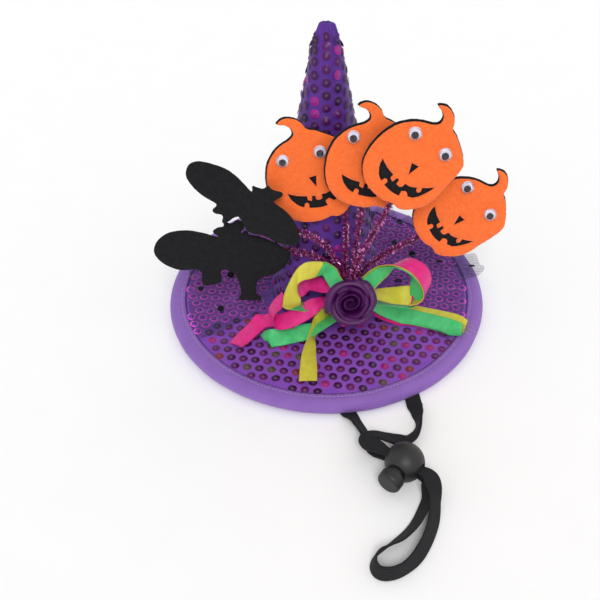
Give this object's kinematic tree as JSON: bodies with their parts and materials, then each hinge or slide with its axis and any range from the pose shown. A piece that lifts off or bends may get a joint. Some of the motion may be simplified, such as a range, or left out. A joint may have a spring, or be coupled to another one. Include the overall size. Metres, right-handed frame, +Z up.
{
  "type": "costume witch hat",
  "caption": "Trimmed costume witch hat: sequin cone crown and round bound brim, felt pumpkin and bat charms on bendy tinsel stems, ribbon bow, rose and elastic chin strap with a ball lock.",
  "frame": {"origin": "on the table plane, under the middle of the round brim", "axes": "+Z up along the crown, -Y towards the front where the bow and charms are, +X to the right seen from the front"},
  "size_m": [0.18, 0.2718, 0.168],
  "materials": {
    "sequin_fabric_bright": "violet satin cloth with plum and magenta cup sequins",
    "sequin_fabric_dark": "violet satin cloth with plum sequins",
    "foam": "light grey foam sheet",
    "lining": "matt violet felt",
    "binding": "lilac satin bias tape",
    "stiffener": "white plastic sheet",
    "head_band": "lilac grosgrain tape",
    "tulle": "sheer black net with flocked dots",
    "tinsel": "magenta metallic tinsel",
    "orange_felt": "orange craft felt",
    "black_felt": "black craft felt",
    "eye_white": "white card disc",
    "eye_clear": "clear plastic dome",
    "eye_black": "black plastic disc",
    "holder": "dark wrapped felt",
    "ribbon_pink": "hot pink satin",
    "ribbon_yellow": "yellow satin",
    "ribbon_green": "green satin",
    "rose": "deep plum satin foam",
    "elastic": "black woven elastic",
    "lock_plastic": "black matt plastic",
    "spring_steel": "spring wire"
  },
  "bodies": {
    "hat": {"brim_lining": "lining", "brim_foam": "foam", "brim_sequin_fabric": "sequin_fabric_bright", "brim_binding": "binding", "crown_sequin_fabric": "sequin_fabric_dark", "crown_stiffener": "stiffener", "head_band": "head_band", "tulle_ruffle": "tulle", "stem_holder": "holder", "bow_knot": "ribbon_pink", "ribbon_pink": "ribbon_pink", "ribbon_yellow": "ribbon_yellow", "ribbon_green": "ribbon_green", "rose_base": "rose", "rose_center": "rose", "rose_petals_inner": "rose", "rose_petals_outer": "rose", "strap_left_anchor": "elastic", "strap_right_anchor": "elastic", "strap_left_run": "elastic", "strap_right_run": "elastic", "strap_left_lead": "elastic", "strap_right_lead": "elastic", "strap_loop": "elastic", "strap_in_lock": "elastic", "lock_body": "lock_plastic", "lock_spring": "spring_steel"},
    "pumpkin_charm_1": {"pumpkin_stem_1": "tinsel", "pumpkin_backing_1": "black_felt", "pumpkin_front_1": "orange_felt", "eye_backs_1": "eye_white", "eye_domes_1": "eye_clear"},
    "pumpkin_charm_2": {"pumpkin_stem_2": "tinsel", "pumpkin_backing_2": "black_felt", "pumpkin_front_2": "orange_felt", "eye_backs_2": "eye_white", "eye_domes_2": "eye_clear"},
    "pumpkin_charm_3": {"pumpkin_stem_3": "tinsel", "pumpkin_backing_3": "black_felt", "pumpkin_front_3": "orange_felt", "eye_backs_3": "eye_white", "eye_domes_3": "eye_clear"},
    "pumpkin_charm_4": {"pumpkin_stem_4": "tinsel", "pumpkin_backing_4": "black_felt", "pumpkin_front_4": "orange_felt", "eye_backs_4": "eye_white", "eye_domes_4": "eye_clear"},
    "bat_upper_charm": {"bat_stem_upper": "tinsel", "bat_upper": "black_felt"},
    "bat_lower_charm": {"bat_stem_lower": "tinsel", "bat_lower": "black_felt"},
    "pupil_1_left": {"pupil_1_left": "eye_black"},
    "pupil_1_right": {"pupil_1_right": "eye_black"},
    "pupil_2_left": {"pupil_2_left": "eye_black"},
    "pupil_2_right": {"pupil_2_right": "eye_black"},
    "pupil_3_left": {"pupil_3_left": "eye_black"},
    "pupil_3_right": {"pupil_3_right": "eye_black"},
    "pupil_4_left": {"pupil_4_left": "eye_black"},
    "pupil_4_right": {"pupil_4_right": "eye_black"},
    "button": {"lock_button": "lock_plastic"}
  },
  "joints": [
    {"name": "pumpkin_charm_1_bend", "type": "hinge", "parent": "hat", "child": "pumpkin_charm_1", "pos_m": [0.0096, -0.02906, 0.03404], "axis": [0, -0.9903, 0.1392], "range_deg": [-8, 8]},
    {"name": "pumpkin_charm_2_bend", "type": "hinge", "parent": "hat", "child": "pumpkin_charm_2", "pos_m": [0.014, -0.03242, 0.03451], "axis": [0, -0.9903, 0.1392], "range_deg": [-8, 8]},
    {"name": "pumpkin_charm_3_bend", "type": "hinge", "parent": "hat", "child": "pumpkin_charm_3", "pos_m": [0.0128, -0.03579, 0.03499], "axis": [0, -0.9903, 0.1392], "range_deg": [-8, 8]},
    {"name": "pumpkin_charm_4_bend", "type": "hinge", "parent": "hat", "child": "pumpkin_charm_4", "pos_m": [0.0146, -0.02906, 0.03404], "axis": [0, -0.9903, 0.1392], "range_deg": [-8, 8]},
    {"name": "bat_upper_charm_bend", "type": "hinge", "parent": "hat", "child": "bat_upper_charm", "pos_m": [0.0098, -0.03242, 0.03451], "axis": [0, -0.9903, 0.1392], "range_deg": [-8, 8]},
    {"name": "bat_lower_charm_bend", "type": "hinge", "parent": "hat", "child": "bat_lower_charm", "pos_m": [0.0054, -0.02906, 0.03404], "axis": [0, -0.9903, 0.1392], "range_deg": [-8, 8]},
    {"name": "pupil_1_left_roll", "type": "hinge", "parent": "pumpkin_charm_1", "child": "pupil_1_left", "pos_m": [-0.02105, -0.02285, 0.10908], "axis": [0, -0.9903, 0.1392], "continuous": true},
    {"name": "pupil_1_right_roll", "type": "hinge", "parent": "pumpkin_charm_1", "child": "pupil_1_right", "pos_m": [-0.00307, -0.02218, 0.11388], "axis": [0, -0.9903, 0.1392], "continuous": true},
    {"name": "pupil_2_left_roll", "type": "hinge", "parent": "pumpkin_charm_2", "child": "pupil_2_left", "pos_m": [0.01252, -0.02837, 0.12585], "axis": [0, -0.9903, 0.1392], "continuous": true},
    {"name": "pupil_2_right_roll", "type": "hinge", "parent": "pumpkin_charm_2", "child": "pupil_2_right", "pos_m": [0.0285, -0.02852, 0.12478], "axis": [0, -0.9903, 0.1392], "continuous": true},
    {"name": "pupil_3_left_roll", "type": "hinge", "parent": "pumpkin_charm_3", "child": "pupil_3_left", "pos_m": [0.04003, -0.0354, 0.13187], "axis": [0, -0.9903, 0.1392], "continuous": true},
    {"name": "pupil_3_right_roll", "type": "hinge", "parent": "pumpkin_charm_3", "child": "pupil_3_right", "pos_m": [0.05449, -0.03685, 0.12158], "axis": [0, -0.9903, 0.1392], "continuous": true},
    {"name": "pupil_4_left_roll", "type": "hinge", "parent": "pumpkin_charm_4", "child": "pupil_4_left", "pos_m": [0.06899, -0.0248, 0.09526], "axis": [0, -0.9903, 0.1392], "continuous": true},
    {"name": "pupil_4_right_roll", "type": "hinge", "parent": "pumpkin_charm_4", "child": "pupil_4_right", "pos_m": [0.08172, -0.02691, 0.08024], "axis": [0, -0.9903, 0.1392], "continuous": true},
    {"name": "button_press", "type": "slide", "parent": "hat", "child": "button", "axis": [0.5707, 0.8211, 0], "range_m": [0, 0.0025], "stiffness_N_per_m": 350, "springref_m": -0.003, "deforming": ["lock_spring"]}
  ]
}
